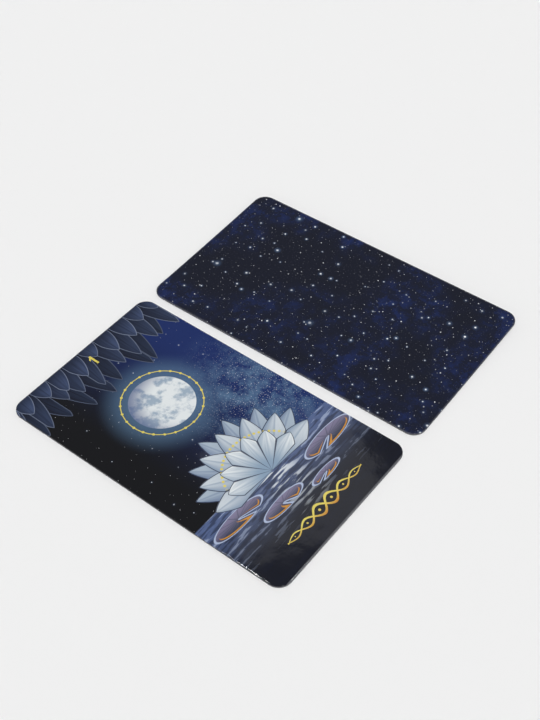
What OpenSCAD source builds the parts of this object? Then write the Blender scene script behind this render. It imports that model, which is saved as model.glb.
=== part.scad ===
// Two cards of an oracle deck, laid side by side on a table.
// The left card lies face up and the right card lies face down, turned a little.
// A card is a laminate of five plies: film, printed sheet, dark core, printed sheet, film.
// It is die-cut through all five from the face side, so the plies share one rounded outline.
// The blade rolls the face edge over and draws the film down round it, while the back edge stays sharp.
// Origin: on the table, under the middle of the pair. X across the cards, Y along them, Z up.

/* [Card outline] */
// Width of a card
card_w = 70; // [55:1:90]
// Length of a card
card_l = 120; // [85:1:145]
// Radius of the rounded corners
corner_r = 5; // [2:0.5:10]
// Radius of the face edge where the die rolls it over
roll_r = 0.35; // [0.1:0.05:0.4]

/* [Plies] */
// Thickness of the gloss film on each side
film_t = 0.03; // [0.02:0.005:0.05]
// Thickness of each printed sheet
sheet_t = 0.37; // [0.2:0.01:0.5]
// Thickness of the dark core that joins the sheets
core_t = 0.1; // [0.05:0.01:0.2]

/* [Layout on the table] */
// Gap between the cards where they lie closest
card_gap = 3.75; // [0.5:0.25:30]
// Turn of the face-down card, counter-clockwise from above, in degrees
turn = 0.9; // [-5:0.1:5]
// Offset of the face-down card along the cards, from the middle of the other card
offset_y = 0.5; // [-15:0.5:15]

/* [Hidden] */
$fn = 96;

face_ink = "#25304a";
back_ink = "#232431";
sheet_stock = "#78797d";
core_glue = "#3a3b40";

// Heights of the ply faces above the back of the card
core_z = film_t + sheet_t;
face_sheet_z = core_z + core_t;
face_film_z = face_sheet_z + sheet_t;
card_t = face_film_z + film_t;

// Straight runs of the outline, between the corner arcs
run_w = card_w - 2 * corner_r;
run_l = card_l - 2 * corner_r;

// Half the box of the turned card
turned_half_w = run_w / 2 * cos(turn) + run_l / 2 * abs(sin(turn)) + corner_r;
turned_half_l = run_w / 2 * abs(sin(turn)) + run_l / 2 * cos(turn) + corner_r;

// Distance between the cards' middles, and the middle of the pair seen from the face-up card's middle
pitch = card_w / 2 + card_gap + turned_half_w;
pair_x = (pitch + turned_half_w - card_w / 2) / 2;
pair_y = (max(card_l / 2, offset_y + turned_half_l) - max(card_l / 2, turned_half_l - offset_y)) / 2;

// Section of a card from the middle of a corner arc out to the die-cut edge, with a skin taken off its rolled face
module card_section(skin = 0) {
    square([corner_r, card_t - roll_r]);
    square([corner_r - roll_r, card_t - skin]);
    translate([corner_r - roll_r, card_t - roll_r])
        circle(roll_r - skin);
}

// One ply: a block in the middle, and its section swept along the four straight runs and the four corner arcs
module swept_ply(base_z, ply_t) {
    translate([-run_w / 2, -run_l / 2, base_z])
        cube([run_w, run_l, ply_t]);
    for (side = [0:3]) {
        across = side % 2 == 0 ? run_w : run_l;
        along = side % 2 == 0 ? run_l : run_w;
        rotate(90 * side)
            translate([across / 2, along / 2, 0]) {
                rotate([90, 0, 0])
                    linear_extrude(along)
                        children();
                rotate_extrude(angle = 90)
                    children();
            }
    }
}

// A ply under the face film, as thick as the card is between two heights
module flat_ply(base_z, ply_t) {
    swept_ply(base_z, ply_t)
        intersection() {
            card_section(film_t);
            translate([0, base_z])
                square([corner_r, ply_t]);
        }
}

// The five plies of a card, with its face upwards and its back at height zero

module face_film() {
    color(face_ink)
        swept_ply(face_film_z, film_t)
            difference() {
                card_section();
                card_section(film_t);
            }
}

module face_sheet() {
    color(sheet_stock)
        flat_ply(face_sheet_z, sheet_t);
}

module core() {
    color(core_glue)
        flat_ply(core_z, core_t);
}

module back_sheet() {
    color(sheet_stock)
        flat_ply(film_t, sheet_t);
}

module back_film() {
    color(back_ink)
        flat_ply(0, film_t);
}

// Where the two cards lie

module lay_face_up() {
    translate([-pair_x, -pair_y, 0])
        children();
}

module lay_face_down() {
    translate([pitch - pair_x, offset_y - pair_y, card_t])
        rotate(turn)
            rotate([0, 180, 0])
                children();
}

// The left card, face up

module face_up_face_film() {
    lay_face_up() face_film();
}

module face_up_face_sheet() {
    lay_face_up() face_sheet();
}

module face_up_core() {
    lay_face_up() core();
}

module face_up_back_sheet() {
    lay_face_up() back_sheet();
}

module face_up_back_film() {
    lay_face_up() back_film();
}

// The right card, face down

module face_down_face_film() {
    lay_face_down() face_film();
}

module face_down_face_sheet() {
    lay_face_down() face_sheet();
}

module face_down_core() {
    lay_face_down() core();
}

module face_down_back_sheet() {
    lay_face_down() back_sheet();
}

module face_down_back_film() {
    lay_face_down() back_film();
}

face_up_face_film();
face_up_face_sheet();
face_up_core();
face_up_back_sheet();
face_up_back_film();
face_down_face_film();
face_down_face_sheet();
face_down_core();
face_down_back_sheet();
face_down_back_film();
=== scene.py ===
"""Two laminated oracle cards on a pale table, one face up and one face down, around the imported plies."""

import math

import bpy
from mathutils import Matrix, Vector


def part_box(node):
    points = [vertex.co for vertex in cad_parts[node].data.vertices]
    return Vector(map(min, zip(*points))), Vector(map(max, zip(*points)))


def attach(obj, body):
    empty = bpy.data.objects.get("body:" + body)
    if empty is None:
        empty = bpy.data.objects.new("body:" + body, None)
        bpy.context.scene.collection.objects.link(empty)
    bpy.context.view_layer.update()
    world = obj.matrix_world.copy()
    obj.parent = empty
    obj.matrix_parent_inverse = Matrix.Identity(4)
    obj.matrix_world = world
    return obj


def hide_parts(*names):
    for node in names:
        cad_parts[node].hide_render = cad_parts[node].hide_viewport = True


bl_info = {
    "name": "Oracle Cards",
    "version": (1, 0, 0),
    "blender": (4, 5, 0),
    "location": "3D View > Sidebar > Cards",
    "description": "Builds two laminated, die-cut oracle cards with printed faces and starry backs",
    "category": "Add Mesh",
}

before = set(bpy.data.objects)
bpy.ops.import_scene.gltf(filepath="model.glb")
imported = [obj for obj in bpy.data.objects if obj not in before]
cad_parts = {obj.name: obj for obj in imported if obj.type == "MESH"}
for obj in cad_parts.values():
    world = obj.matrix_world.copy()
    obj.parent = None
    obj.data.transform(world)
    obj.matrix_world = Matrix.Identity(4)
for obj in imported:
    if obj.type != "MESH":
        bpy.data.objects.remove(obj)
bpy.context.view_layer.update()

MM = 0.001

# Node kinds and settings that come again and again
MATH = "ShaderNodeMath"
VECTOR_MATH = "ShaderNodeVectorMath"
MAP_RANGE = "ShaderNodeMapRange"
MAPPING = "ShaderNodeMapping"
MIX = "ShaderNodeMix"
NOISE = "ShaderNodeTexNoise"
VORONOI = "ShaderNodeTexVoronoi"
SEPARATE = "ShaderNodeSeparateXYZ"
COMBINE = "ShaderNodeCombineXYZ"
SMOOTH = {"interpolation_type": "SMOOTHSTEP"}
FLAT = {"noise_dimensions": "2D"}
COLOUR = {"data_type": "RGBA", "out": 2}
# The two colour sockets of a mix
UNDER, OVER = 6, 7

# Attribute with each point's place on the flat card in millimetres, and how a shader reads it
PRINT_PLACE = "print_mm"
ON_CARD = {"attribute_name": PRINT_PLACE, "out": 1}

# How finely a ply's mesh is cut: along half of each straight run, out through a corner, and round the roll
RUN_STEPS = (10, 16)
CORNER_STEPS = 8
ROLL_STEPS = 6
RIM_STEPS = CORNER_STEPS + ROLL_STEPS

# The five plies of a card from its face to its back: piece name, CAD node and material slot
PLIES = (
    ("printed_face", "face_film", "face_print"),
    ("face_paper", "face_sheet", "sheet"),
    ("glue_core", "core", "core"),
    ("back_paper", "back_sheet", "sheet"),
    ("printed_back", "back_film", "back_print"),
)
FACE_FILM, FACE_SHEET, CORE, BACK_SHEET, BACK_FILM = PLIES
CARDS = ("face_up", "face_down")


def linear(hex_colour):
    """An sRGB hex colour as the linear red, green, blue and alpha that a shader takes."""
    channels = [int(hex_colour[i:i + 2], 16) / 255 for i in (1, 3, 5)]
    return [c / 12.92 if c <= 0.04045 else ((c + 0.055) / 1.055) ** 2.4 for c in channels] + [1.0]


def feed(tree, node, inputs):
    """Feeds a node's inputs, by index or name, with values or with outputs of other nodes."""
    for key, value in inputs.items():
        if isinstance(value, bpy.types.NodeSocket):
            tree.links.new(value, node.inputs[key])
        else:
            node.inputs[key].default_value = value


def add(tree, kind, *inputs, at=None, out=0, **settings):
    """Adds one node with its settings, and feeds its first inputs in order and others by index or name."""
    node = tree.nodes.new(kind)
    for name, value in settings.items():
        setattr(node, name, value)
    feed(tree, node, dict(enumerate(inputs)))
    feed(tree, node, at or {})
    return node.outputs[out]


def new_group(name, kind, inputs, output, output_kind):
    """A node group with named inputs and one output, and the sockets that bring the inputs in."""
    group = bpy.data.node_groups.new(name, kind)
    for socket, socket_kind in inputs.items():
        group.interface.new_socket(socket, in_out="INPUT", socket_type=f"NodeSocket{socket_kind}")
    group.interface.new_socket(output, in_out="OUTPUT", socket_type=f"NodeSocket{output_kind}")
    return group, group.nodes.new("NodeGroupInput").outputs


def new_object(name, data):
    """A new object in the scene."""
    item = bpy.data.objects.new(name, data)
    bpy.context.scene.collection.objects.link(item)
    return item


def card_box(card):
    """Lowest and highest corner of a card, from the boxes of all its plies."""
    boxes = [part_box(f"{card}_{node}") for _, node, _ in PLIES]
    low = [min(box[0][axis] for box in boxes) for axis in range(3)]
    high = [max(box[1][axis] for box in boxes) for axis in range(3)]
    return Vector(low), Vector(high)


FACE_UP_LOW, FACE_UP_HIGH = card_box("face_up")
CARD_SIZE = FACE_UP_HIGH - FACE_UP_LOW
FILM_LOW, FILM_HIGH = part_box("face_up_back_film")


def length_property(name, description, default):
    """A length in metres."""
    return bpy.props.FloatProperty(
        name=name, description=description, default=default, unit="LENGTH", precision=5)


def angle_property(name, description, degrees):
    """An angle, given in degrees."""
    return bpy.props.FloatProperty(
        name=name, description=description, default=math.radians(degrees), unit="ROTATION")


def ink_property(name, description, hex_colour):
    """A colour, given as sRGB hex."""
    return bpy.props.FloatVectorProperty(
        name=name, description=description, default=linear(hex_colour), size=4, subtype="COLOR",
        min=0, max=1)


class CardSizes(bpy.types.PropertyGroup):
    """Sizes that the two cards share, and how each of them lies."""

    width: length_property("Width", "Width of a card", CARD_SIZE.x)
    length: length_property("Length", "Length of a card", CARD_SIZE.y)
    corner: length_property("Corner radius", "Radius of the rounded corners", 5 * MM)
    roll: length_property("Roll radius", "Radius of the face edge that the die rolls over", 0.35 * MM)
    film: length_property("Film", "Thickness of the gloss film", FILM_HIGH[2] - FILM_LOW[2])
    turn: angle_property("Turn", "Turn of the face-down card on the table", 0.9)
    face_up_lift: length_property("Face-up lift", "Lift of the face-up card's bent edge", 0.2 * MM)
    face_down_lift: length_property("Face-down lift", "Lift of the face-down card's bent edge", 1.2 * MM)


class CardInks(bpy.types.PropertyGroup):
    """Inks of the two prints, and the stock that shows at the cut edge."""

    night: ink_property("Night", "Near-black of the night sky", "#101424")
    black: ink_property("Black", "Darkest part of the sky on the face", "#0b0c11")
    deep_blue: ink_property("Deep blue", "Blue drifts in the night sky", "#172a60")
    milk: ink_property("Milky blue", "Pale band across the night sky", "#5d7c9b")
    star: ink_property("Star", "Stars", "#f4f6f8")
    star_glow: ink_property("Star glow", "Glow round the brightest stars", "#7d9fd0")
    petal: ink_property("Petal", "Lit part of the petals and of the moon", "#dfe4e6")
    petal_shade: ink_property("Petal shade", "Shaded part of the petals and of the moon", "#8299b0")
    outline: ink_property("Outline", "Drawn line round the petals", "#273048")
    slate: ink_property("Slate", "Leaves and water in shade", "#232d43")
    mist: ink_property("Mist", "Leaves and water in the light", "#52628a")
    mauve: ink_property("Mauve", "Lily pads", "#7d7794")
    pale_line: ink_property("Pale line", "Drawn line round leaves, pads and ripples", "#a9b6d2")
    gold: ink_property("Gold", "Ornament, numeral, ring and stamens", "#dccb60")
    orange: ink_property("Orange gold", "Second line on the pads, and shade of the ornament", "#c0842e")
    paper: ink_property("Paper", "Cut edge of the printed sheets", "#7c7d81")
    paper_fibre: ink_property("Paper fibre", "Darker fibres in the cut edge", "#5e5f62")
    core: ink_property("Core", "Dark glue line between the sheets", "#2b2c31")


# The ply's shape

# Inputs of the ply's tree, and their kinds
PLY_INPUTS = {
    "Width": "Float", "Length": "Float", "Corner Radius": "Float", "Roll Radius": "Float",
    "Top Roll": "Float", "Bottom Roll": "Float", "Base": "Float", "Thickness": "Float", "Ledge": "Float",
    "Layers": "Int", "Lift": "Float", "Rotation": "Vector", "Place": "Vector", "Material": "Material",
}
# A point of the net that lies further than this above or below its middle is on the ply's top or base
NET_FACE = 0.25
# A roll smaller than this is none
LEAST_ROLL = 1e-6
# An edge that turns by more than this is a cut and stays sharp
CUT_TURN = math.radians(30)


def rim_profile(tree, size, point, reach):
    """Radius and height of a point that has reached so many steps out into the rim."""
    # Which face of the ply the point is on, and the radius at which that face rolls over, if it does
    level = add(tree, SEPARATE, point, out=2)
    is_top = add(tree, MATH, level, NET_FACE, operation="GREATER_THAN")
    is_base = add(tree, MATH, level, -NET_FACE, operation="LESS_THAN")
    roll = add(tree, "GeometryNodeSwitch", is_top, size["Bottom Roll"], size["Top Roll"], input_type="FLOAT")
    is_flat = add(tree, MATH, roll, LEAST_ROLL, operation="LESS_THAN")
    swing = add(tree, MATH, is_flat, size["Roll Radius"], roll, operation="MULTIPLY_ADD")

    # Flat steps crowd up to the roll, which then turns through a right angle
    left = add(tree, MAP_RANGE, reach, 0.0, CORNER_STEPS, 1.0, 0.0)
    left = add(tree, MATH, left, left, operation="MULTIPLY")
    flat_radius = add(tree, MATH, size["Corner Radius"], size["Roll Radius"], operation="SUBTRACT")
    radius = add(tree, MATH, 1.0, left, operation="SUBTRACT")
    radius = add(tree, MATH, radius, flat_radius, operation="MULTIPLY")
    angle = add(tree, MAP_RANGE, reach, CORNER_STEPS, RIM_STEPS, 0.0, math.pi / 2)
    sine = add(tree, MATH, angle, operation="SINE")
    radius = add(tree, MATH, sine, swing, radius, operation="MULTIPLY_ADD")
    cosine = add(tree, MATH, angle, operation="COSINE")
    drop = add(tree, MATH, 1.0, cosine, operation="SUBTRACT")
    drop = add(tree, MATH, drop, roll, operation="MULTIPLY")

    # Height of the ply's faces, and of the ledge between them where the rolled film ends on the cut edge
    top = add(tree, MATH, size["Base"], size["Thickness"], operation="ADD")
    height = add(tree, "GeometryNodeSwitch", is_top, size["Ledge"], top, input_type="FLOAT")
    height = add(tree, "GeometryNodeSwitch", is_base, height, size["Base"], input_type="FLOAT")
    height = add(tree, MATH, height, drop, operation="SUBTRACT")
    return radius, height


def flat_place(tree, size, point):
    """Place of a point on the ply while it lies flat and face up in the middle of the scene."""
    # Along the straight run as a share from 0 to 1, then outwards through the rim as a count of steps
    count = add(tree, VECTOR_MATH, point, operation="ABSOLUTE")
    side = add(tree, VECTOR_MATH, point, operation="SIGN")
    run_count = (*RUN_STEPS, 1)
    along = add(tree, VECTOR_MATH, count, run_count, operation="DIVIDE")
    along = add(tree, VECTOR_MATH, along, (1, 1, 1), operation="MINIMUM")
    into = add(tree, VECTOR_MATH, count, run_count, operation="SUBTRACT")
    into = add(tree, VECTOR_MATH, into, (0, 0, 0), operation="MAXIMUM")
    outward = add(tree, VECTOR_MATH, into, operation="NORMALIZE")
    into_x, into_y, _ = add(tree, SEPARATE, into).node.outputs
    reach = add(tree, MATH, into_x, into_y, operation="MAXIMUM")
    radius, height = rim_profile(tree, size, point, reach)

    half_runs = []
    for name in ("Width", "Length"):
        half = add(tree, MATH, size[name], 0.5, operation="MULTIPLY")
        half_runs.append(add(tree, MATH, half, size["Corner Radius"], operation="SUBTRACT"))
    runs = add(tree, COMBINE, *half_runs)
    place = add(tree, VECTOR_MATH, along, runs, operation="MULTIPLY")
    corner = add(tree, VECTOR_MATH, outward, at={"Scale": radius}, operation="SCALE")
    place = add(tree, VECTOR_MATH, place, corner, operation="ADD")
    rise = add(tree, COMBINE, 0.0, 0.0, height)
    return add(tree, VECTOR_MATH, place, side, rise, operation="MULTIPLY_ADD")


def bent_plate(tree, size, plate):
    """The ply on the table and bent: it lies on one long edge and rises towards the other."""
    plate = add(tree, "GeometryNodeTransform", plate,
                at={"Translation": size["Place"], "Rotation": size["Rotation"]})
    kept = add(tree, "GeometryNodeInputNamedAttribute", PRINT_PLACE, data_type="FLOAT_VECTOR")
    across = add(tree, SEPARATE, kept)
    half_width = add(tree, MATH, size["Width"], 0.5 / MM, operation="MULTIPLY")
    across = add(tree, MATH, across, half_width, operation="DIVIDE")
    bend = add(tree, MAP_RANGE, across, 1.0, -1.0, 0.0, 1.0)
    bend = add(tree, MATH, bend, bend, operation="MULTIPLY")
    lift = add(tree, MATH, bend, size["Lift"], operation="MULTIPLY")
    lift = add(tree, COMBINE, 0.0, 0.0, lift)
    return add(tree, "GeometryNodeSetPosition", plate, at={"Offset": lift})


def ply_tree():
    """Geometry Nodes tree of one die-cut ply: a box cut into a fine net and laid out as a rounded plate."""
    tree, size = new_group("Die-cut ply", "GeometryNodeTree", PLY_INPUTS, "Geometry", "Geometry")

    # The net counts its own steps: each point's x and y are whole numbers of steps from the middle
    steps_x, steps_y = (2 * (run + RIM_STEPS) for run in RUN_STEPS)
    layers = add(tree, MATH, size["Layers"], 1.0, operation="ADD")
    net = add(tree, "GeometryNodeMeshCube", (steps_x, steps_y, 1), steps_x + 1, steps_y + 1, layers)
    point = add(tree, "GeometryNodeInputPosition")
    place = flat_place(tree, size, point)
    plate = add(tree, "GeometryNodeSetPosition", net, at={"Position": place})
    printed = add(tree, VECTOR_MATH, point, at={"Scale": 1 / MM}, operation="SCALE")
    plate = add(tree, "GeometryNodeStoreNamedAttribute", plate, at={"Name": PRINT_PLACE, "Value": printed},
                data_type="FLOAT_VECTOR", domain="POINT")

    # Smooth over the faces and the rolled edge, sharp where the die cut straight
    edge_turn = add(tree, "GeometryNodeInputMeshEdgeAngle")
    cut = add(tree, "FunctionNodeCompare", edge_turn, CUT_TURN, operation="GREATER_THAN", data_type="FLOAT")
    plate = add(tree, "GeometryNodeSetShadeSmooth", plate, at={"Shade Smooth": True}, domain="FACE")
    plate = add(tree, "GeometryNodeSetShadeSmooth", plate, at={"Selection": cut, "Shade Smooth": False},
                domain="EDGE")
    plate = bent_plate(tree, size, plate)
    plate = add(tree, "GeometryNodeRealizeInstances", plate)
    plate = add(tree, "GeometryNodeSetMaterial", plate, at={"Material": size["Material"]})
    tree.links.new(plate, tree.nodes.new("NodeGroupOutput").inputs["Geometry"])
    return tree


def ply_values(card, node, material):
    """Inputs of the ply's tree for one ply of a card."""
    sizes = bpy.context.scene.card_sizes
    low, high = card_box(card)
    thickness = high.z - low.z
    face_down = card == "face_down"
    middle = (low + high) / 2
    ply_low, ply_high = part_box(f"{card}_{node}")
    base = high.z - ply_high[2] if face_down else ply_low[2] - low.z
    height = ply_high[2] - ply_low[2]
    under_film = sizes.roll - sizes.film
    top_roll, bottom_roll, layers = 0.0, 0.0, 1
    if node == "face_film":
        base, height = thickness - sizes.film, sizes.film
        top_roll, bottom_roll = sizes.roll, under_film
    elif node == "face_sheet":
        top_roll, layers = under_film, 2
    return {
        "Width": sizes.width, "Length": sizes.length,
        "Corner Radius": sizes.corner, "Roll Radius": sizes.roll,
        "Top Roll": top_roll, "Bottom Roll": bottom_roll, "Base": base, "Thickness": height,
        "Ledge": thickness - sizes.roll, "Layers": layers,
        "Lift": sizes.face_down_lift if face_down else sizes.face_up_lift,
        "Rotation": (0, math.pi, sizes.turn) if face_down else (0, 0, 0),
        "Place": (middle.x, middle.y, high.z if face_down else low.z), "Material": material,
    }


def make_ply(card, ply, material):
    """One ply of a card as a finished mesh that rides on its card and stands for its CAD node."""
    name, node, slot = ply
    values = ply_values(card, node, material)
    tree = bpy.data.node_groups.get("Die-cut ply") or ply_tree()
    maker = new_object("maker", bpy.data.meshes.new("net"))
    modifier = maker.modifiers.new("Die-cut ply", "NODES")
    modifier.node_group = tree
    for item in tree.interface.items_tree:
        if item.in_out == "INPUT":
            modifier[item.identifier] = values[item.name]
    evaluated = maker.evaluated_get(bpy.context.evaluated_depsgraph_get())
    mesh = bpy.data.meshes.new_from_object(evaluated)
    bpy.data.meshes.remove(maker.data)
    piece = new_object(f"{card}_{name}", mesh)
    mesh.name = piece.name
    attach(piece, f"{card}_card")
    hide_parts(f"{card}_{node}")


# The prints, all measured in millimetres on the flat card

FULL_TURN = 2 * math.pi
# Width of the soft edge of a printed shape
PRINT_EDGE = 0.16

# Stars from dust to the brightest: spacing of the net, largest radius, share that shines, shine and glow
BACK_STARS = (
    (1.2, 0.11, 0.6, 0.2, 0.0), (2.4, 0.18, 0.55, 0.8, 0.0), (4.2, 0.36, 0.34, 1.0, 0.0),
    (8.0, 0.56, 0.68, 1.0, 0.4), (23.0, 0.75, 0.7, 1.0, 0.8),
)
FACE_STARS = ((3.0, 0.17, 0.5, 0.5, 0.0), (11.0, 0.36, 0.6, 0.9, 0.3))
GLOW_SPECKS = (0.9, 0.22, 0.7, 0.6, 0.0)
# Least shine and radius of a star as shares of the most, reach of a halo in radii, shift of the net by seed
LEAST_SHINE = 0.35
LEAST_RADIUS = 0.5
HALO_REACH = 4.0
NET_SHIFT = Vector((131, 57, 0))

# Blue drifts of the back: length, size of their mottle, and where the card lies in their endless pattern
DRIFT_SIZE = 35.0
MOTTLE_SIZE = 6.0
DRIFT_START = (345.0, 432.5, 0.0)
# Pale glow of the face: middle, reach, grain, and shift of the grain by seed
GLOW_MIDDLE = (27.0, -4.0, 0.0)
GLOW_REACH = 38.0
GRAIN_SIZE = 9.0
GRAIN_SHIFT = Vector((31, 0, 0))

# The two faces: material, if a lotus stands in the water, middle and radius of the moon, gap between the
# figures of the numeral, and seed
FACES = {
    "face_up": ("Laminated print, lotus face", True, (0, 20), 12.0, 0.0, 1),
    "face_down": ("Laminated print, moon face", False, (0, 8), 18.0, 2.8, 11),
}
# Brightest place on a moon of radius one
MOON_LIT = (0.35, -0.3, 0.0)
# Gold ring of the moon: gap to the limb as a share of the moon's radius, half its line, and its beads
RING_GAP = 0.22
RING_LINE = 0.17
RING_BEADS = 24
BEAD_RADIUS = 0.48

# Inputs of the leaf's group in order, and their kinds
LEAF_INPUTS = {
    "Under": "Color", "Across": "Float", "Along": "Float", "Past Room": "Float", "Half Width": "Float",
    "Long": "Float", "Light": "Color", "Shade": "Color", "Line": "Color",
}
# Powers of a leaf's swelling root and closing tip, and the peak of x**LEAF_SWELL * (1 - x)**LEAF_CLOSE
LEAF_SWELL = 0.5
LEAF_CLOSE = 0.8
LEAF_PEAK = 0.4206
# Rows of hanging leaves, back to front: leaf length, half width, share of light, spacing, height of roots
LEAF_ROWS = ((27.0, 4.0, 0.0, 9.0, 63.0), (21.0, 3.9, 0.2, 8.4, 64.0), (14.0, 3.8, 0.45, 8.0, 64.0))
# Shift of each row in leaves, largest lean of a leaf, and its least and most share of the row's length
ROW_SHIFT = 0.37
LEAF_LEAN = 0.16
LEAF_STRETCH = (0.75, 1.1)
# Seed of a row's chances, factor that makes a second chance of the first, and how closely veins lie
ROW_SEED = 7.3
SECOND_CHANCE = 7.7
VEIN_SCALE = (5.0, 1.2, 3.7)

# Rows of the lotus, back to front: petal length, half width, share of light, degrees between petals, petals
# to each side
LOTUS_ROOT = (0.0, -29.0, 0.0)
LOTUS_ROWS = ((28.0, 5.0, 0.3, 26, 2.5), (25.0, 5.4, 0.7, 27, 3), (17.5, 5.0, 1.0, 29, 2.5))
# Stamens: angle between two, half the fan, radius of a dot, and depth below the front petals' tips
STAMEN_STEP = math.radians(6)
STAMEN_FAN = math.radians(64)
STAMEN_RADIUS = 0.5
STAMEN_DEPTH = 0.6

# Water: height of the horizon, and length and height of its ripples
HORIZON = -25.0
RIPPLE_SIZE = (11.0, 1.4, 1.0)
# Lily pads: middle across and along, half width and half depth as seen, and direction of the notch
LILY_PADS = (
    (-22.0, -32.5, 12.0, 3.1, -0.9), (23.0, -35.0, 12.5, 3.3, -2.1),
    (-8.0, -40.0, 10.0, 2.6, -1.2), (10.5, -43.5, 7.5, 1.9, -2.2),
)
# Mean radius of a pad in half depths, half its notch and drawn edge, inset of its orange line, its veins
PAD_REACH = 1.6
PAD_NOTCH = 0.11
PAD_LINE = 0.18
PAD_INSET = 0.95
PAD_VEINS = 14

# Gold braid: height on the card, length of a wave, half length, swing, half stroke, its share at the ends
BRAID_HEIGHT = -51.0
BRAID_WAVE = 13.0
BRAID_HALF = 20.0
BRAID_SWING = 2.5
BRAID_STROKE = 0.55
BRAID_TAPER = 0.25
# Gold numeral: height on the card, half height, half stroke, and rise, middle and half of its flag
NUMERAL_HEIGHT = 53.0
FIGURE_HALF = 2.4
FIGURE_STROKE = 0.4
FLAG_RISE = 2.0
FLAG_MIDDLE = -0.6
FLAG_HALF = 0.7


def lay(tree, under, ink, distance, blur=PRINT_EDGE):
    """Prints an ink where a distance is below zero, with a soft edge as wide as blur."""
    inside = add(tree, MAP_RANGE, distance, blur / 2, -blur / 2, 0.0, 1.0, **SMOOTH)
    return add(tree, MIX, inside, at={UNDER: under, OVER: ink}, **COLOUR)


def stroke(tree, value, middle, half):
    """Distance from a drawn line, below zero in it, where the line lies at the middle of a value."""
    off = add(tree, MATH, value, middle, operation="SUBTRACT")
    off = add(tree, MATH, off, operation="ABSOLUTE")
    return add(tree, MATH, off, half, operation="SUBTRACT")


def bead(tree, across, along, radius):
    """Distance from a round bead, below zero in it, for a point across and along from the bead's middle."""
    reach = add(tree, COMBINE, across, along, 0.0)
    reach = add(tree, VECTOR_MATH, reach, out=1, operation="LENGTH")
    return add(tree, MATH, reach, radius, operation="SUBTRACT")


def off_step(tree, value, count, scale, shift=0.0):
    """How far a value, turned into a count of equal steps, is from the nearest step, times a scale."""
    steps = add(tree, MATH, value, count, shift, operation="MULTIPLY_ADD")
    steps = add(tree, MATH, steps, 0.5, operation="PINGPONG")
    return add(tree, MATH, steps, scale, operation="MULTIPLY")


def print_place(tree):
    """Each point's place on the flat card."""
    place = add(tree, "ShaderNodeAttribute", **ON_CARD)
    return add(tree, VECTOR_MATH, place, (1, 1, 0), operation="MULTIPLY")


def scatter_stars(tree, sky, place, inks, spacing, radius, share, shine, glow, seed):
    """Stars of many sizes, at most one to a cell of a scattered net; only a share of the cells shine."""
    net = add(tree, VECTOR_MATH, place, NET_SHIFT * seed, operation="ADD")
    near = add(tree, VORONOI, net, at={"Scale": 1 / spacing}, voronoi_dimensions="2D")
    chance = add(tree, "ShaderNodeSeparateColor", near.node.outputs["Color"])
    strength = add(tree, MAP_RANGE, chance.node.outputs["Green"], 0.0, 1.0, LEAST_SHINE * shine, shine)
    present = add(tree, MATH, chance, share, operation="LESS_THAN")
    strength = add(tree, MATH, strength, present, operation="MULTIPLY")
    size = add(tree, MATH, chance.node.outputs["Blue"], 2.0, operation="POWER")
    size = add(tree, MAP_RANGE, size, 0.0, 1.0, LEAST_RADIUS * radius / spacing, radius / spacing)
    reach = add(tree, MATH, near, size, operation="DIVIDE")
    if glow:
        halo = add(tree, MAP_RANGE, reach, HALO_REACH, 0.0, 0.0, 1.0)
        halo = add(tree, MATH, halo, 3.0, operation="POWER")
        halo = add(tree, MATH, halo, glow, operation="MULTIPLY")
        halo = add(tree, MATH, halo, strength, operation="MULTIPLY")
        sky = add(tree, MIX, halo, at={UNDER: sky, OVER: inks.star_glow}, **COLOUR)
    light = add(tree, MAP_RANGE, reach, 1.0, 0.5, 0.0, 1.0, **SMOOTH)
    light = add(tree, MATH, light, strength, operation="MULTIPLY")
    return add(tree, MIX, light, at={UNDER: sky, OVER: inks.star}, **COLOUR)


def night_sky(tree, place, inks):
    """Near-black sky with long, mottled drifts of deep blue."""
    drift = add(tree, VECTOR_MATH, place, DRIFT_START, operation="ADD")
    drift = add(tree, NOISE, drift, at={"Scale": 1 / DRIFT_SIZE, "Detail": 3.0}, **FLAT)
    drift = add(tree, MAP_RANGE, drift, 0.4, 0.68, 0.0, 1.0, **SMOOTH)
    mottle = add(tree, NOISE, place, at={"Scale": 1 / MOTTLE_SIZE, "Detail": 6.0, "Roughness": 0.7}, **FLAT)
    mottle = add(tree, MAP_RANGE, mottle, 0.4, 0.7, 0.1, 0.75, **SMOOTH)
    blue = add(tree, MATH, drift, mottle, operation="MULTIPLY")
    return add(tree, MIX, blue, at={UNDER: inks.night, OVER: inks.deep_blue}, **COLOUR)


def milky_glow(tree, place, inks, seed):
    """Black sky that turns blue towards one long side, with a pale, grainy glow and fine specks."""
    across = add(tree, SEPARATE, place)
    blue = add(tree, MAP_RANGE, across, -26.0, 30.0, 0.0, 1.0, **SMOOTH)
    sky = add(tree, MIX, blue, at={UNDER: inks.black, OVER: inks.deep_blue}, **COLOUR)
    grain = add(tree, VECTOR_MATH, place, GRAIN_SHIFT * seed, operation="ADD")
    grain = add(tree, NOISE, grain, at={"Scale": 1 / GRAIN_SIZE, "Detail": 7.0, "Roughness": 0.75}, **FLAT)
    grain = add(tree, MAP_RANGE, grain, 0.4, 0.72, 0.0, 1.0)
    glow = add(tree, VECTOR_MATH, place, GLOW_MIDDLE, out=1, operation="DISTANCE")
    glow = add(tree, MAP_RANGE, glow, GLOW_REACH, 2.0, 0.0, 1.0, **SMOOTH)
    pale = add(tree, MATH, glow, grain, operation="MULTIPLY")
    sky = add(tree, MIX, pale, at={UNDER: sky, OVER: inks.milk}, **COLOUR)
    specks = scatter_stars(tree, sky, place, inks, *GLOW_SPECKS, seed + len(FACE_STARS))
    return add(tree, MIX, glow, at={UNDER: sky, OVER: specks}, **COLOUR)


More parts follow.
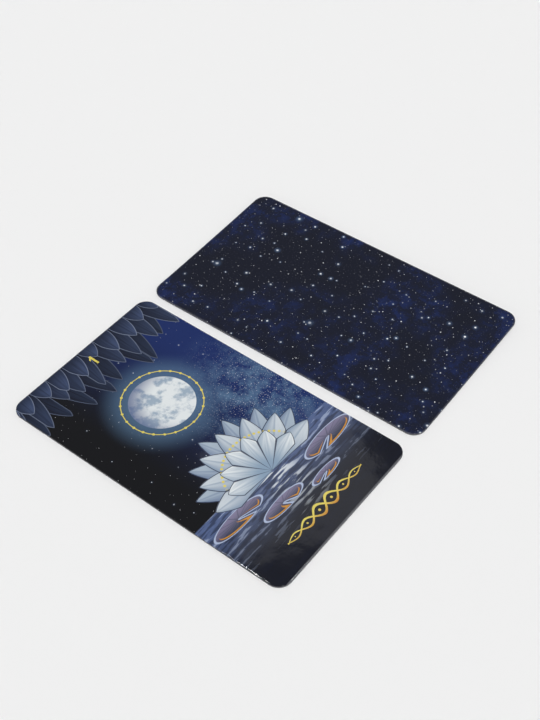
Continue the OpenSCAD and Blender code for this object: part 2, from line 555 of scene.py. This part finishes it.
def full_moon(tree, under, place, inks, middle, radius):
    """Full moon with soft grey seas, a shaded limb, a wide glow, and a thin gold ring with beads."""
    disc = add(tree, MAPPING, place, (*middle, 0), (0, 0, 0), (radius, radius, 1), vector_type="TEXTURE")
    reach = add(tree, VECTOR_MATH, disc, out=1, operation="LENGTH")
    glow = add(tree, MAP_RANGE, reach, 2.0, 0.9, 0.0, 0.6, **SMOOTH)
    sky = add(tree, MIX, glow, at={UNDER: under, OVER: inks.milk}, **COLOUR)
    seas = add(tree, NOISE, disc, at={"Scale": 1.5, "Detail": 6.0, "Roughness": 0.6}, **FLAT)
    seas = add(tree, MAP_RANGE, seas, 0.46, 0.62, 0.0, 0.8, **SMOOTH)
    face = add(tree, MIX, seas, at={UNDER: inks.petal, OVER: inks.petal_shade}, **COLOUR)
    pits = add(tree, VORONOI, disc, at={"Scale": 5.0}, voronoi_dimensions="2D")
    pits = add(tree, MAP_RANGE, pits, 0.16, 0.26, 0.3, 0.0, **SMOOTH)
    lit = add(tree, VECTOR_MATH, disc, MOON_LIT, out=1, operation="DISTANCE")
    limb = add(tree, MAP_RANGE, lit, 0.75, 1.5, 0.0, 0.85, **SMOOTH)
    for share, ink in ((pits, inks.petal), (limb, inks.mist)):
        face = add(tree, MIX, share, at={UNDER: face, OVER: ink}, **COLOUR)
    edge = add(tree, MATH, reach, 1.0, operation="SUBTRACT")
    edge = add(tree, MATH, edge, radius, operation="MULTIPLY")
    sky = lay(tree, sky, face, edge)

    # Gold ring, with beads at equal steps round it
    gap = radius * RING_GAP
    line = stroke(tree, edge, gap, RING_LINE)
    sky = lay(tree, sky, inks.gold, line)
    x, y, _ = add(tree, SEPARATE, disc).node.outputs
    turn = add(tree, MATH, y, x, operation="ARCTAN2")
    bead_step = (radius + gap) * FULL_TURN / RING_BEADS
    along = off_step(tree, turn, RING_BEADS / FULL_TURN, bead_step)
    across = add(tree, MATH, edge, gap, operation="SUBTRACT")
    return lay(tree, sky, inks.gold, bead(tree, across, along, BEAD_RADIUS))


def leaf_group():
    """Shader group of one pointed leaf or petal, printed over what is under it."""
    group, given = new_group("Leaf or petal", "ShaderNodeTree", LEAF_INPUTS, "Printed", "Color")

    # Outline: it swells from the root, closes to a point at the tip, and stops where its neighbour starts
    rise = add(group, MATH, given["Along"], given["Long"], operation="DIVIDE")
    inner = add(group, "ShaderNodeClamp", rise, 0.001, 0.999)
    swell = add(group, MATH, inner, LEAF_SWELL, operation="POWER")
    left = add(group, MATH, 1.0, inner, operation="SUBTRACT")
    close = add(group, MATH, left, LEAF_CLOSE, operation="POWER")
    half = add(group, MATH, swell, close, operation="MULTIPLY")
    half = add(group, MATH, half, given["Half Width"], operation="MULTIPLY")
    half = add(group, MATH, half, LEAF_PEAK, operation="DIVIDE")
    side = add(group, MATH, given["Across"], operation="ABSOLUTE")
    distance = add(group, MATH, side, half, operation="SUBTRACT")
    past_tip = add(group, MATH, given["Along"], given["Long"], operation="SUBTRACT")
    past_root = add(group, MATH, given["Along"], -1.0, operation="MULTIPLY")
    for past in (past_tip, past_root, given["Past Room"]):
        distance = add(group, MATH, distance, past, operation="MAXIMUM")

    # Painted body: light towards the tip, one side folded into shade, a rib and fine veins
    bright = add(group, MAP_RANGE, rise, 0.15, 0.9, 0.0, 1.0, **SMOOTH)
    body = add(group, MIX, bright, at={UNDER: given["Shade"], OVER: given["Light"]}, **COLOUR)
    fold = add(group, MATH, given["Across"], half, operation="DIVIDE")
    dark = add(group, MAP_RANGE, fold, 0.15, -0.95, 0.0, 0.75, **SMOOTH)
    vein = add(group, COMBINE, fold, rise, given["Long"])
    vein = add(group, VECTOR_MATH, vein, VEIN_SCALE, operation="MULTIPLY")
    vein = add(group, NOISE, vein, at={"Scale": 1.0, "Detail": 2.0})
    vein = add(group, MAP_RANGE, vein, 0.5, 0.66, 0.0, 0.4)
    rib = add(group, MAP_RANGE, side, 0.0, 0.5, 0.5, 0.0)
    for share in (dark, vein, rib):
        body = add(group, MIX, share, at={UNDER: body, OVER: given["Shade"]}, **COLOUR)
    printed = lay(group, given["Under"], body, distance)

    # Drawn line just inside the outline, thinner near the root
    thin = add(group, MAP_RANGE, given["Along"], 1.0, 12.0, 0.02, 0.16)
    inset = add(group, MATH, distance, thin, operation="ADD")
    printed = lay(group, printed, given["Line"], stroke(group, inset, 0.0, thin))
    group.links.new(printed, group.nodes.new("NodeGroupOutput").inputs["Printed"])
    return group


def mixed(first, second, share):
    """A colour part of the way from the first to the second."""
    return [a + (b - a) * share for a, b in zip(first, second)]


def hanging_leaves(tree, printed, place, inks, leaf):
    """Three rows of leaves that hang into the top of the picture, darkest at the back."""
    x, y, _ = add(tree, SEPARATE, place).node.outputs
    for row, (long, half_width, light, spacing, root) in enumerate(LEAF_ROWS):
        count = add(tree, MATH, x, 1 / spacing, row * ROW_SHIFT, operation="MULTIPLY_ADD")
        number = add(tree, MATH, count, operation="ROUND")
        across = add(tree, MATH, count, number, operation="SUBTRACT")
        across = add(tree, MATH, across, spacing, operation="MULTIPLY")
        past_room = stroke(tree, across, 0.0, spacing / 2)
        along = add(tree, MATH, root, y, operation="SUBTRACT")
        chance = add(tree, MATH, number, row * ROW_SEED, operation="ADD")
        chance = add(tree, "ShaderNodeTexWhiteNoise", at={"W": chance}, noise_dimensions="1D")
        lean = add(tree, MAP_RANGE, chance, 0.0, 1.0, -LEAF_LEAN, LEAF_LEAN)
        across = add(tree, MATH, along, lean, across, operation="MULTIPLY_ADD")
        stretch = add(tree, MATH, chance, SECOND_CHANCE, operation="MULTIPLY")
        stretch = add(tree, MATH, stretch, 1.0, operation="PINGPONG")
        stretch = add(tree, MAP_RANGE, stretch, 0.0, 1.0, *(share * long for share in LEAF_STRETCH))
        printed = add(
            tree, "ShaderNodeGroup", printed, across, along, past_room, half_width, stretch,
            mixed(inks.slate, inks.mist, light), mixed(inks.night, inks.slate, light),
            mixed(inks.slate, inks.pale_line, 0.15 + 0.6 * light), node_tree=leaf)
    return printed


def lotus(tree, printed, place, inks, leaf):
    """Open lotus: three rows of pale petals, with gold stamens behind the front row."""
    local = add(tree, VECTOR_MATH, place, LOTUS_ROOT, operation="SUBTRACT")
    x, y, _ = add(tree, SEPARATE, local).node.outputs
    turn = add(tree, MATH, x, y, operation="ARCTAN2")
    reach = add(tree, VECTOR_MATH, local, out=1, operation="LENGTH")
    for long, half_width, light, degrees, each_side in LOTUS_ROWS:
        step = math.radians(degrees)
        if light == 1.0:
            printed = stamens(tree, printed, inks, turn, reach, long - STAMEN_DEPTH)
        shift = each_side % 1
        count = add(tree, MATH, turn, 1 / step, shift, operation="MULTIPLY_ADD")
        number = add(tree, MATH, count, operation="ROUND")
        number = add(tree, "ShaderNodeClamp", number, shift - each_side, shift + each_side)
        off = add(tree, MATH, count, number, operation="SUBTRACT")
        off = add(tree, MATH, off, step, operation="MULTIPLY")
        across = add(tree, MATH, off, operation="SINE")
        across = add(tree, MATH, across, reach, operation="MULTIPLY")
        along = add(tree, MATH, off, operation="COSINE")
        along = add(tree, MATH, along, reach, operation="MULTIPLY")
        past_room = stroke(tree, off, 0.0, step / 2)
        past_room = add(tree, MATH, past_room, reach, operation="MULTIPLY")
        printed = add(
            tree, "ShaderNodeGroup", printed, across, along, past_room, half_width, long,
            mixed(inks.petal_shade, inks.petal, light), mixed(inks.mist, inks.petal_shade, light),
            inks.outline, node_tree=leaf)
    return printed


def stamens(tree, under, inks, turn, reach, long):
    """Fan of gold dots at equal angles, all as far from the root as long."""
    across = off_step(tree, turn, 1 / STAMEN_STEP, STAMEN_STEP * long)
    along = add(tree, MATH, reach, long, operation="SUBTRACT")
    dot = bead(tree, across, along, STAMEN_RADIUS)
    past_fan = stroke(tree, turn, 0.0, STAMEN_FAN)
    dot = add(tree, MATH, dot, past_fan, operation="MAXIMUM")
    return lay(tree, under, inks.gold, dot)


def still_water(tree, under, place, inks):
    """Water below the horizon, with long, low ripples and the moon's path down the middle."""
    x, y, _ = add(tree, SEPARATE, place).node.outputs
    depth = add(tree, MATH, HORIZON, y, operation="SUBTRACT")
    fall = add(tree, MAP_RANGE, depth, 0.0, 24.0, 0.0, 1.0, **SMOOTH)
    deep = mixed(inks.black, inks.night, 0.6)
    water = add(tree, MIX, fall, at={UNDER: inks.mist, OVER: deep}, **COLOUR)
    ripple = add(tree, VECTOR_MATH, place, RIPPLE_SIZE, operation="DIVIDE")
    ripple = add(tree, NOISE, ripple, at={"Scale": 1.0, "Detail": 3.0, "Roughness": 0.5}, **FLAT)
    dark = add(tree, MAP_RANGE, ripple, 0.5, 0.4, 0.0, 0.6, **SMOOTH)
    crest = add(tree, MAP_RANGE, ripple, 0.58, 0.63, 0.0, 0.6, **SMOOTH)
    calm = add(tree, MAP_RANGE, depth, 26.0, 4.0, 0.0, 1.0)
    crest = add(tree, MATH, crest, calm, operation="MULTIPLY")
    off_path = add(tree, MATH, x, operation="ABSOLUTE")
    path = add(tree, MAP_RANGE, off_path, 11.0, 3.0, 0.0, 1.0, **SMOOTH)
    glint = add(tree, MAP_RANGE, ripple, 0.52, 0.6, 0.0, 0.8, **SMOOTH)
    glint = add(tree, MATH, glint, path, operation="MULTIPLY")
    glint = add(tree, MATH, glint, calm, operation="MULTIPLY")
    for share, ink in ((dark, inks.night), (crest, inks.pale_line), (glint, inks.petal)):
        water = add(tree, MIX, share, at={UNDER: water, OVER: ink}, **COLOUR)
    above = add(tree, MATH, depth, -1.0, operation="MULTIPLY")
    return lay(tree, under, water, above, 0.5)


def lily_pads(tree, printed, place, inks):
    """Floating pads with a notch, veins, a pale drawn edge and an orange-gold arc on the near side."""
    for across, along, half_width, half_depth, notch in LILY_PADS:
        pad = add(tree, MAPPING, place, (across, along, 0), (0, 0, 0), (half_width, half_depth, 1),
                  vector_type="TEXTURE")
        x, y, _ = add(tree, SEPARATE, pad).node.outputs
        reach = add(tree, VECTOR_MATH, pad, out=1, operation="LENGTH")
        turn = add(tree, MATH, y, x, operation="ARCTAN2")
        inside = add(tree, MATH, 1.0, reach, operation="SUBTRACT")
        off_notch = stroke(tree, turn, notch, PAD_NOTCH)
        off_notch = add(tree, MATH, off_notch, reach, operation="MULTIPLY")
        inside = add(tree, MATH, inside, off_notch, operation="MINIMUM")
        edge = add(tree, MATH, inside, -half_depth * PAD_REACH, operation="MULTIPLY")
        tone = add(tree, MAP_RANGE, y, -0.9, 1.0, 0.0, 1.0, **SMOOTH)
        leaf = add(tree, MIX, tone, at={UNDER: inks.slate, OVER: inks.mauve}, **COLOUR)
        vein = off_step(tree, turn, PAD_VEINS / FULL_TURN, reach)
        vein = add(tree, MAP_RANGE, vein, 0.02, 0.07, 0.4, 0.0, **SMOOTH)
        leaf = add(tree, MIX, vein, at={UNDER: leaf, OVER: inks.slate}, **COLOUR)
        printed = lay(tree, printed, leaf, edge)
        printed = lay(tree, printed, inks.pale_line, stroke(tree, edge, -PAD_LINE, PAD_LINE))
        fire = add(tree, MAP_RANGE, y, 0.3, -0.9, -0.1, 0.42)
        printed = lay(tree, printed, inks.orange, stroke(tree, edge, -PAD_INSET, fire))
    return printed


def gold_ornament(tree, under, place, inks):
    """Gold braid of two waves that taper to both ends, with a bead in each loop, orange at its foot."""
    local = add(tree, VECTOR_MATH, place, (0, BRAID_HEIGHT, 0), operation="SUBTRACT")
    x, y, _ = add(tree, SEPARATE, local).node.outputs
    rise = add(tree, MAP_RANGE, y, -BRAID_SWING, 0.6, 0.0, 1.0)
    ink = add(tree, MIX, rise, at={UNDER: inks.orange, OVER: inks.gold}, **COLOUR)
    out_by = add(tree, MATH, x, operation="ABSOLUTE")
    taper = add(tree, MAP_RANGE, out_by, 0.0, BRAID_HALF, 1.0, BRAID_TAPER)
    wave = add(tree, MATH, x, FULL_TURN / BRAID_WAVE, operation="MULTIPLY")
    wave = add(tree, MATH, wave, operation="SINE")
    wave = add(tree, MATH, wave, BRAID_SWING, operation="MULTIPLY")
    wave = add(tree, MATH, wave, taper, operation="MULTIPLY")
    half_stroke = add(tree, MATH, taper, BRAID_STROKE, operation="MULTIPLY")
    off_wave = add(tree, MATH, wave, operation="ABSOLUTE")
    off_middle = add(tree, MATH, y, operation="ABSOLUTE")
    shape = stroke(tree, off_middle, off_wave, half_stroke)
    past_end = add(tree, MATH, out_by, BRAID_HALF, operation="SUBTRACT")
    shape = add(tree, MATH, shape, past_end, operation="MAXIMUM")

    # A bead in the middle of each loop, as far as a quarter of a wave from the ends
    loop = off_step(tree, x, 2 / BRAID_WAVE, BRAID_WAVE / 2, 0.5)
    beads = bead(tree, loop, y, half_stroke)
    past_beads = add(tree, MATH, past_end, -BRAID_WAVE / 4, operation="SUBTRACT")
    beads = add(tree, MATH, beads, past_beads, operation="MAXIMUM")
    shape = add(tree, MATH, shape, beads, operation="MINIMUM")
    return lay(tree, under, ink, shape)


def gold_numeral(tree, under, place, inks, apart):
    """Small plain figure one, an upright with a short flag, or two of them for an eleven."""
    local = add(tree, VECTOR_MATH, place, (0, NUMERAL_HEIGHT, 0), operation="SUBTRACT")
    x, y, _ = add(tree, SEPARATE, local).node.outputs
    side = add(tree, MATH, x, operation="SIGN")
    x = add(tree, MATH, side, -apart / 2, x, operation="MULTIPLY_ADD")
    wide = stroke(tree, x, 0.0, FIGURE_STROKE)
    tall = stroke(tree, y, 0.0, FIGURE_HALF)
    upright = add(tree, MATH, wide, tall, operation="MAXIMUM")
    slant = add(tree, MATH, y, x, operation="SUBTRACT")
    flag = stroke(tree, slant, FLAG_RISE, FIGURE_STROKE)
    past_flag = stroke(tree, x, FLAG_MIDDLE, FLAG_HALF)
    flag = add(tree, MATH, flag, past_flag, operation="MAXIMUM")
    shape = add(tree, MATH, upright, flag, operation="MINIMUM")
    return lay(tree, under, inks.gold, shape)


# The materials, with sizes in millimetres

# Roughness of cut paper and of glue, and index and roughness of the gloss film
PAPER_ROUGHNESS = 0.85
GLUE_ROUGHNESS = 0.6
FILM_IOR = 1.5
FILM_ROUGHNESS = (0.05, 0.08)
# Sizes of the film's orange peel, waves, puckers and finger smears
PEEL_SIZE = 1.2
WAVE_SIZE = 9.0
PUCKER_SIZE = 0.8
SMEAR_SIZE = 14.0
# Strength and height of the bumps of orange peel, waves and paper fibres, and height of the puckers
PEEL_BUMP = (0.02, 0.2 * MM)
WAVE_BUMP = (0.1, 0.5 * MM)
FIBRE_BUMP = (0.3, 0.02 * MM)
PUCKER_BUMP = 0.012 * MM
# Depth below the face where puckers start and where they are full
PUCKER_DEPTHS = (0.01, 0.06)
# Distances before an edge where the paper grey starts and is full, and its share on faces and backs: on the
# faces' short ends it is rub and painted sheen, on the backs rub
RUB_AND_SHEEN_REACH = (0.6, 0.25)
FACE_RUB_AND_SHEEN = 0.5
BACK_RUB = 0.17
# Length, width and height of the paper's fibres, and size of patches in the glue
FIBRE_SIZE = (0.6, 0.6, 0.05)
PATCH_SIZE = 0.8
TABLE_COLOUR = "#efefef"


def rub_and_sheen_edge(tree, printed, inks, reach, edge, share):
    """Paper grey over a share of a print just before an edge: rub from handling, and on the faces' short
    ends also painted sheen.
    """
    start, full = (edge - before for before in RUB_AND_SHEEN_REACH)
    rub_and_sheen = add(tree, MAP_RANGE, reach, start, full, 0.0, share)
    return add(tree, MIX, rub_and_sheen, at={UNDER: printed, OVER: inks.paper}, **COLOUR)


def gloss_film(tree, printed, place, rolled):
    """Gloss lamination over a print: smooth, a little wavy, with a fine orange peel, puckered if rolled."""
    peel = add(tree, NOISE, place, at={"Scale": 1 / PEEL_SIZE, "Detail": 2.0}, **FLAT)
    peel = add(tree, "ShaderNodeBump", *PEEL_BUMP, at={"Height": peel})
    wave = add(tree, NOISE, place, at={"Scale": 1 / WAVE_SIZE, "Detail": 1.0}, **FLAT)
    wave = add(tree, "ShaderNodeBump", *WAVE_BUMP, at={"Height": wave, "Normal": peel})
    if rolled:
        # Only where the film is drawn down round the edge
        level = add(tree, "ShaderNodeAttribute", **ON_CARD)
        level = add(tree, SEPARATE, level, out=2)
        start, full = (CARD_SIZE.z / MM - depth for depth in PUCKER_DEPTHS)
        drawn = add(tree, MAP_RANGE, level, start, full, 0.0, 1.0)
        pucker = add(tree, NOISE, place, at={"Scale": 1 / PUCKER_SIZE, "Detail": 1.0}, **FLAT)
        wave = add(tree, "ShaderNodeBump", drawn, PUCKER_BUMP, at={"Height": pucker, "Normal": wave})
    smear = add(tree, NOISE, place, at={"Scale": 1 / SMEAR_SIZE, "Detail": 4.0}, **FLAT)
    smear = add(tree, MAP_RANGE, smear, 0.35, 0.7, *FILM_ROUGHNESS)
    feed(tree, tree.nodes["Principled BSDF"],
         {"Base Color": printed, "Roughness": smear, "IOR": FILM_IOR, "Normal": wave})


def new_material(name):
    """A new material, its node tree, and the inks."""
    material = bpy.data.materials.new(name)
    material.use_nodes = True
    return material, material.node_tree, bpy.context.scene.card_inks


def moonlit_print(name, with_lotus, moon_middle, moon_radius, figures_apart, seed):
    """Offset print under gloss film: a moonlit scene in dark blues, pale greys and gold, to the edge."""
    material, tree, inks = new_material(name)
    leaf = bpy.data.node_groups.get("Leaf or petal") or leaf_group()
    place = print_place(tree)
    picture = milky_glow(tree, place, inks, seed)
    for number, layer in enumerate(FACE_STARS):
        picture = scatter_stars(tree, picture, place, inks, *layer, seed + number)
    picture = full_moon(tree, picture, place, inks, moon_middle, moon_radius)
    picture = hanging_leaves(tree, picture, place, inks, leaf)
    picture = still_water(tree, picture, place, inks)
    picture = lily_pads(tree, picture, place, inks)
    if with_lotus:
        picture = lotus(tree, picture, place, inks, leaf)
    picture = gold_ornament(tree, picture, place, inks)
    picture = gold_numeral(tree, picture, place, inks, figures_apart)
    # The short ends turn paper grey on the rolled edge: partly rub from riffling, partly a painted sheen of
    # the light the near end catches
    along = add(tree, SEPARATE, place, out=1)
    along = add(tree, MATH, along, operation="ABSOLUTE")
    picture = rub_and_sheen_edge(tree, picture, inks, along, CARD_SIZE.y / 2 / MM, FACE_RUB_AND_SHEEN)
    gloss_film(tree, picture, place, True)
    return material


def starry_print():
    """Offset print under gloss film: a night sky crowded with stars, from dust to a few bright ones."""
    material, tree, inks = new_material("Laminated print, starry back")
    place = print_place(tree)
    picture = night_sky(tree, place, inks)
    for spacing, *layer in BACK_STARS:
        picture = scatter_stars(tree, picture, place, inks, spacing, *layer, spacing)
    # The sharp back edge is rubbed a little all the way round
    corner = bpy.context.scene.card_sizes.corner / MM
    run = (CARD_SIZE.x / 2 / MM - corner, CARD_SIZE.y / 2 / MM - corner, 0)
    past = add(tree, VECTOR_MATH, place, operation="ABSOLUTE")
    past = add(tree, VECTOR_MATH, past, run, operation="SUBTRACT")
    past = add(tree, VECTOR_MATH, past, (0, 0, 0), operation="MAXIMUM")
    rim = add(tree, VECTOR_MATH, past, out=1, operation="LENGTH")
    picture = rub_and_sheen_edge(tree, picture, inks, rim, corner, BACK_RUB)
    gloss_film(tree, picture, place, False)
    return material


def cut_paper():
    """Coated paper cut by a die: dull grey edge with darker fibres that lie along the sheet."""
    material, tree, inks = new_material("Coated paper, die-cut edge")
    place = add(tree, "ShaderNodeAttribute", **ON_CARD)
    fibre = add(tree, VECTOR_MATH, place, FIBRE_SIZE, operation="DIVIDE")
    fibre = add(tree, NOISE, fibre, at={"Scale": 1.0, "Detail": 3.0})
    fibre = add(tree, MAP_RANGE, fibre, 0.4, 0.65, 0.0, 1.0)
    tone = add(tree, MIX, fibre, at={UNDER: inks.paper, OVER: inks.paper_fibre}, **COLOUR)
    rough = add(tree, "ShaderNodeBump", *FIBRE_BUMP, at={"Height": fibre})
    feed(tree, tree.nodes["Principled BSDF"],
         {"Base Color": tone, "Roughness": PAPER_ROUGHNESS, "Normal": rough})
    return material


def dark_glue():
    """Opaque dark glue between the sheets: a dull, slightly uneven dark line in the edge."""
    material, tree, inks = new_material("Dark laminating glue")
    place = add(tree, "ShaderNodeAttribute", **ON_CARD)
    patch = add(tree, NOISE, place, at={"Scale": 1 / PATCH_SIZE, "Detail": 3.0})
    patch = add(tree, MAP_RANGE, patch, 0.4, 0.7, 0.0, 0.35)
    tone = add(tree, MIX, patch, at={UNDER: inks.core, OVER: inks.paper_fibre}, **COLOUR)
    feed(tree, tree.nodes["Principled BSDF"], {"Base Color": tone, "Roughness": GLUE_ROUGHNESS})
    return material


def matt_table():
    """Matt table top: plain pale grey without gloss, so that it shows nothing but soft shadow."""
    material, tree, _ = new_material("Pale matt table")
    feed(tree, tree.nodes["Principled BSDF"],
         {"Base Color": linear(TABLE_COLOUR), "Roughness": 1.0, "Specular IOR Level": 0.0})
    return material


# The stage

# Half the width of the floor, in metres
FLOOR_HALF = 3.0
# Camera, from the photograph: turn, height and roll in degrees, distance, lens, aim from the face-up card
AZIMUTH = -50.882
ELEVATION = 47.787
ROLL = -1.371
DISTANCE = 431.85 * MM
LENS = 59.671
AIM = (39.19 * MM, 2.735 * MM)
# White room: heights between which its light fades, as shares of straight up, and its level at each
ROOM_HEIGHTS = (0.12, 0.6)
ROOM_LEVELS = (0.86, 0.22)
# Lamps far away: name, direction, strength, width in degrees, if it throws a shadow, if gloss mirrors it
SUNS = (
    ("Key", (-0.1, -0.35, 0.93), 0.33, 4.0, True, True),
    ("Side softbox", (0.45, -0.85, 0.28), 1.2, 24.0, False, False),
    ("Left rim glint", (-0.15, 0.347, 0.926), 1.15, 4.0, False, True),
    ("Right rim glint", (0.415, -0.3, 0.859), 0.55, 2.5, False, True),
)
# Panel overhead that the film mirrors as a faint haze: middle, size, turn in degrees and power
PANEL_PLACE = (0.3786, 0.2717, 0.7)
PANEL_SIZE = (0.165, 0.15)
PANEL_TURN = -34.0
PANEL_POWER = 0.0428


def lay_floor():
    """Floor that belongs to the stage and not to the part."""
    corners = [(x * FLOOR_HALF, y * FLOOR_HALF, 0) for x, y in ((-1, -1), (1, -1), (1, 1), (-1, 1))]
    mesh = bpy.data.meshes.new("floor")
    mesh.from_pydata(corners, [], [(0, 1, 2, 3)])
    mesh.materials.append(matt_table())
    floor = new_object("floor", mesh)


def light_room(scene):
    """White room that is brightest low down, four lamps far away and one panel."""
    world = bpy.data.worlds.new("Soft studio")
    scene.world = world
    world.use_nodes = True
    tree = world.node_tree
    direction = add(tree, "ShaderNodeTexCoord")
    height = add(tree, SEPARATE, direction, out=2)
    level = add(tree, MAP_RANGE, height, *ROOM_HEIGHTS, *ROOM_LEVELS, **SMOOTH)
    feed(tree, tree.nodes["Background"], {"Color": (1, 1, 1, 1), "Strength": level})

    for name, towards, strength, degrees, shadow, mirrored in SUNS:
        sun = bpy.data.lights.new(name, "SUN")
        sun.energy = strength
        sun.angle = math.radians(degrees)
        sun.use_shadow = shadow
        lamp = new_object(name, sun)
        lamp.visible_glossy = mirrored
        lamp.rotation_euler = Vector(towards).to_track_quat("Z", "Y").to_euler()

    panel = bpy.data.lights.new("Panel", "AREA")
    panel.shape = "RECTANGLE"
    panel.size, panel.size_y = PANEL_SIZE
    panel.energy = PANEL_POWER
    lamp = new_object("Panel", panel)
    lamp.location = PANEL_PLACE
    lamp.rotation_euler.z = math.radians(PANEL_TURN)


def aim_camera(scene):
    """Camera that sees the cards from where the photograph was taken."""
    azimuth, elevation, roll = (math.radians(degrees) for degrees in (AZIMUTH, ELEVATION, ROLL))
    level = math.cos(elevation)
    back = Vector((math.sin(azimuth) * level, -math.cos(azimuth) * level, math.sin(elevation)))
    turn = back.to_track_quat("Z", "Y").to_matrix().to_4x4() @ Matrix.Rotation(roll, 4, "Z")
    middle = (FACE_UP_LOW + FACE_UP_HIGH) / 2
    target = Vector((middle.x + AIM[0], middle.y + AIM[1], 0))
    camera = new_object("camera", bpy.data.cameras.new("camera"))
    camera.data.lens = LENS
    camera.matrix_world = Matrix.Translation(target + back * DISTANCE) @ turn
    scene.camera = camera


# The add-on


class CARDS_OT_films(bpy.types.Operator):
    """Lay the printed films on the faces and backs of both cards"""

    bl_idname = "oracle_cards.films"
    bl_label = "Printed Films"

    def execute(self, context):
        faces = {card: moonlit_print(*FACES[card]) for card in CARDS}
        back = starry_print()
        for card in CARDS:
            make_ply(card, FACE_FILM, faces[card])
            make_ply(card, BACK_FILM, back)
        return {"FINISHED"}


class CARDS_OT_papers(bpy.types.Operator):
    """Cut the paper sheets and the glue core of both cards"""

    bl_idname = "oracle_cards.papers"
    bl_label = "Paper and Core"

    def execute(self, context):
        paper = cut_paper()
        glue = dark_glue()
        for card in CARDS:
            make_ply(card, FACE_SHEET, paper)
            make_ply(card, CORE, glue)
            make_ply(card, BACK_SHEET, paper)
        return {"FINISHED"}


class CARDS_OT_stage(bpy.types.Operator):
    """Set up the pale floor, the soft light and the camera"""

    bl_idname = "oracle_cards.stage"
    bl_label = "Stage"

    def execute(self, context):
        scene = context.scene
        scene.view_settings.view_transform = "Standard"
        lay_floor()
        light_room(scene)
        aim_camera(scene)
        return {"FINISHED"}


class CARDS_PT_panel(bpy.types.Panel):
    """Sizes, inks and steps of the cards"""

    bl_idname = "CARDS_PT_panel"
    bl_label = "Oracle Cards"
    bl_space_type = "VIEW_3D"
    bl_region_type = "UI"
    bl_category = "Cards"

    def draw(self, context):
        for group in (context.scene.card_sizes, context.scene.card_inks):
            column = self.layout.column()
            for name in group.__annotations__:
                column.prop(group, name)
        for operator in OPERATORS:
            self.layout.operator(operator.bl_idname)


OPERATORS = (CARDS_OT_films, CARDS_OT_papers, CARDS_OT_stage)
CLASSES = (CardSizes, CardInks, *OPERATORS, CARDS_PT_panel)


def register():
    """Registers the classes, and gives the scene its sizes and inks."""
    for cls in CLASSES:
        bpy.utils.register_class(cls)
    bpy.types.Scene.card_sizes = bpy.props.PointerProperty(type=CardSizes)
    bpy.types.Scene.card_inks = bpy.props.PointerProperty(type=CardInks)


def unregister():
    """Takes back what register did."""
    del bpy.types.Scene.card_inks
    del bpy.types.Scene.card_sizes
    for cls in reversed(CLASSES):
        bpy.utils.unregister_class(cls)


def main():
    """Builds the scene."""
    register()
    bpy.ops.oracle_cards.films()
    bpy.ops.oracle_cards.papers()
    bpy.ops.oracle_cards.stage()


if __name__ == "__main__":
    main()
